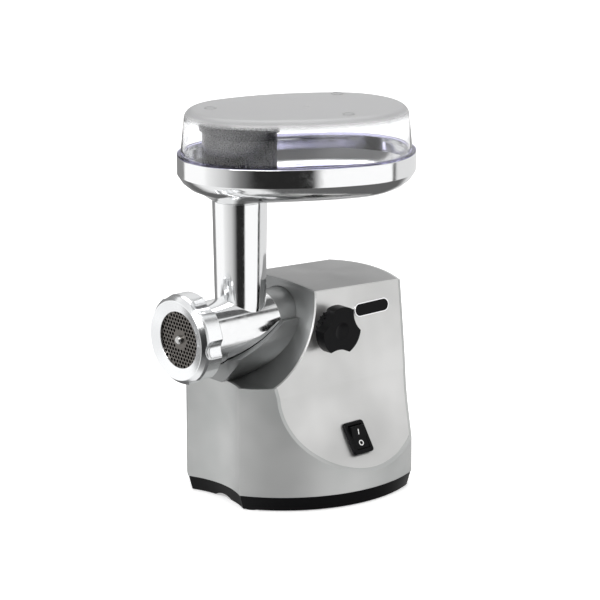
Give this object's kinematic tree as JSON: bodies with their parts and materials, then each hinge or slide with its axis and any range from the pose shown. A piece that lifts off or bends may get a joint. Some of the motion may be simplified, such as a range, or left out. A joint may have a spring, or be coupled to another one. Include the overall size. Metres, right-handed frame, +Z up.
{
  "type": "electric meat grinder",
  "caption": "Tabletop electric meat grinder with a polished feed head, screw-on ring, perforated plate, egg-shaped tray, clear cover, lock knob and rocker switch.",
  "frame": {"origin": "centre of the bounding box, on the table plane under the rubber feet", "axes": "+Z up, -Y towards the nozzle, +X towards the lock knob and the switch"},
  "size_m": [0.22, 0.2454, 0.372],
  "materials": {
    "brushed_panel": "brushed satin silver",
    "skirt_metal": "brushed satin silver",
    "top_metal": "satin grey-silver",
    "recess_metal": "dark grey, glossy",
    "polished_aluminium": "mirror polished",
    "screen_steel": "ground steel",
    "tool_steel": "ground steel",
    "chrome_trim": "chrome",
    "black_plastic": "satin black",
    "dark_plastic": "dark grey, glossy",
    "clear_cover": "clear",
    "white_plastic": "natural",
    "black_rubber": "matt",
    "gear_plastic": "natural",
    "gear_steel": "machined",
    "zinc_steel": "zinc plated",
    "case_aluminium": "die cast",
    "lamination": "varnished laminations",
    "copper": "enamelled copper wire",
    "carbon": "carbon",
    "bronze": "sintered bronze"
  },
  "bodies": {
    "housing": {"lower_skirt": "skirt_metal", "rear_cover": "skirt_metal", "right_side_panel": "brushed_panel", "left_side_panel": "brushed_panel", "front_recess_panel": "recess_metal", "top_cover": "top_metal", "base_plate": "black_plastic", "rubber_feet": "black_rubber", "base_screws": "zinc_steel", "head_socket_sleeve": "recess_metal", "head_cradle": "recess_metal", "clamp_nut": "zinc_steel", "badge_plate": "chrome_trim", "switch_frame": "black_plastic", "inlet_gland": "black_rubber", "gearbox_case": "case_aluminium", "gearbox_cover": "case_aluminium", "gearbox_screws": "zinc_steel", "shaft_bushes": "bronze", "motor_stator": "lamination", "field_coils": "copper", "carbon_brushes": "carbon", "brush_holders": "bronze", "motor_front_bracket": "case_aluminium", "motor_rear_bracket": "case_aluminium", "motor_bearings": "zinc_steel", "motor_bolts": "zinc_steel", "motor_cradle": "black_plastic", "terminal_block": "white_plastic"},
    "rotor": {"motor_shaft": "gear_steel", "motor_pinion": "gear_steel", "rotor_core": "lamination", "rotor_windings": "copper", "commutator": "copper", "cooling_fan": "black_plastic"},
    "first_gear_set": {"first_shaft": "gear_steel", "first_gear": "gear_plastic", "first_pinion": "gear_steel"},
    "second_gear_set": {"second_shaft": "gear_steel", "second_gear": "gear_plastic", "second_pinion": "gear_steel"},
    "output": {"output_shaft": "gear_steel", "output_gear": "gear_steel"},
    "head": {"grinder_head": "polished_aluminium", "plate_key": "tool_steel"},
    "screw_set": {"feed_screw": "polished_aluminium", "screw_pin": "tool_steel", "thrust_washer": "white_plastic", "drive_coupling": "white_plastic", "cutter_blade": "tool_steel"},
    "plate": {"screen_plate": "screen_steel"},
    "ring": {"ring_nut": "polished_aluminium"},
    "tray": {"tray": "polished_aluminium"},
    "cover": {"tray_cover": "clear_cover"},
    "pusher": {"pusher": "dark_plastic", "spare_plates": "screen_steel"},
    "pusher_lid": {"pusher_lid": "dark_plastic"},
    "knob": {"lock_knob": "black_plastic", "clamp_stud": "zinc_steel"},
    "rocker": {"switch_rocker": "black_plastic"}
  },
  "joints": [
    {"name": "motor_spin", "type": "hinge", "parent": "housing", "child": "rotor", "pos_m": [-0.0075, 0.04475, 0.0774], "axis": [0, 1, 0], "continuous": true},
    {"name": "first_gear_spin", "type": "hinge", "parent": "housing", "child": "first_gear_set", "pos_m": [-0.0075, 0.04475, 0.1014], "axis": [0, 1, 0], "continuous": true},
    {"name": "second_gear_spin", "type": "hinge", "parent": "housing", "child": "second_gear_set", "pos_m": [-0.0075, 0.04475, 0.1314], "axis": [0, 1, 0], "continuous": true},
    {"name": "output_spin", "type": "hinge", "parent": "housing", "child": "output", "pos_m": [-0.0075, 0.04475, 0.165], "axis": [0, 1, 0], "continuous": true},
    {"name": "feed_screw_spin", "type": "hinge", "parent": "head", "child": "screw_set", "pos_m": [-0.0075, 0.04475, 0.165], "axis": [0, 1, 0], "continuous": true},
    {"name": "head_pull", "type": "slide", "parent": "housing", "child": "head", "axis": [0, -1, 0], "range_m": [0, 0.06]},
    {"name": "ring_off", "type": "slide", "parent": "head", "child": "ring", "axis": [0, -1, 0], "range_m": [0, 0.05]},
    {"name": "plate_off", "type": "slide", "parent": "head", "child": "plate", "axis": [0, -1, 0], "range_m": [0, 0.03]},
    {"name": "tray_lift", "type": "slide", "parent": "head", "child": "tray", "axis": [0, 0, 1], "range_m": [0, 0.06]},
    {"name": "cover_lift", "type": "slide", "parent": "tray", "child": "cover", "axis": [0, 0, 1], "range_m": [0, 0.24]},
    {"name": "pusher_lift", "type": "slide", "parent": "tray", "child": "pusher", "axis": [0, 0, 1], "range_m": [0, 0.12]},
    {"name": "pusher_lid_lift", "type": "slide", "parent": "pusher", "child": "pusher_lid", "axis": [0, 0, 1], "range_m": [0, 0.048]},
    {"name": "knob_turn", "type": "hinge", "parent": "housing", "child": "knob", "pos_m": [0.0525, 0.01325, 0.165], "axis": [1, 0, 0], "range_deg": [0, 720]},
    {"name": "rocker_tilt", "type": "hinge", "parent": "housing", "child": "rocker", "pos_m": [0.0762, 0.02675, 0.0601], "axis": [0, -1, 0], "range_deg": [0, 22]}
  ],
  "couplings": [
    {"joint": "first_gear_spin", "follows": "motor_spin", "ratio": -0.25},
    {"joint": "second_gear_spin", "follows": "motor_spin", "ratio": 0.0625},
    {"joint": "output_spin", "follows": "motor_spin", "ratio": -0.020833},
    {"joint": "feed_screw_spin", "follows": "motor_spin", "ratio": -0.020833},
    {"joint": "plate_off", "follows": "ring_off", "ratio": 0.6},
    {"joint": "pusher_lift", "follows": "cover_lift", "ratio": 0.5},
    {"joint": "pusher_lid_lift", "follows": "cover_lift", "ratio": 0.2}
  ]
}
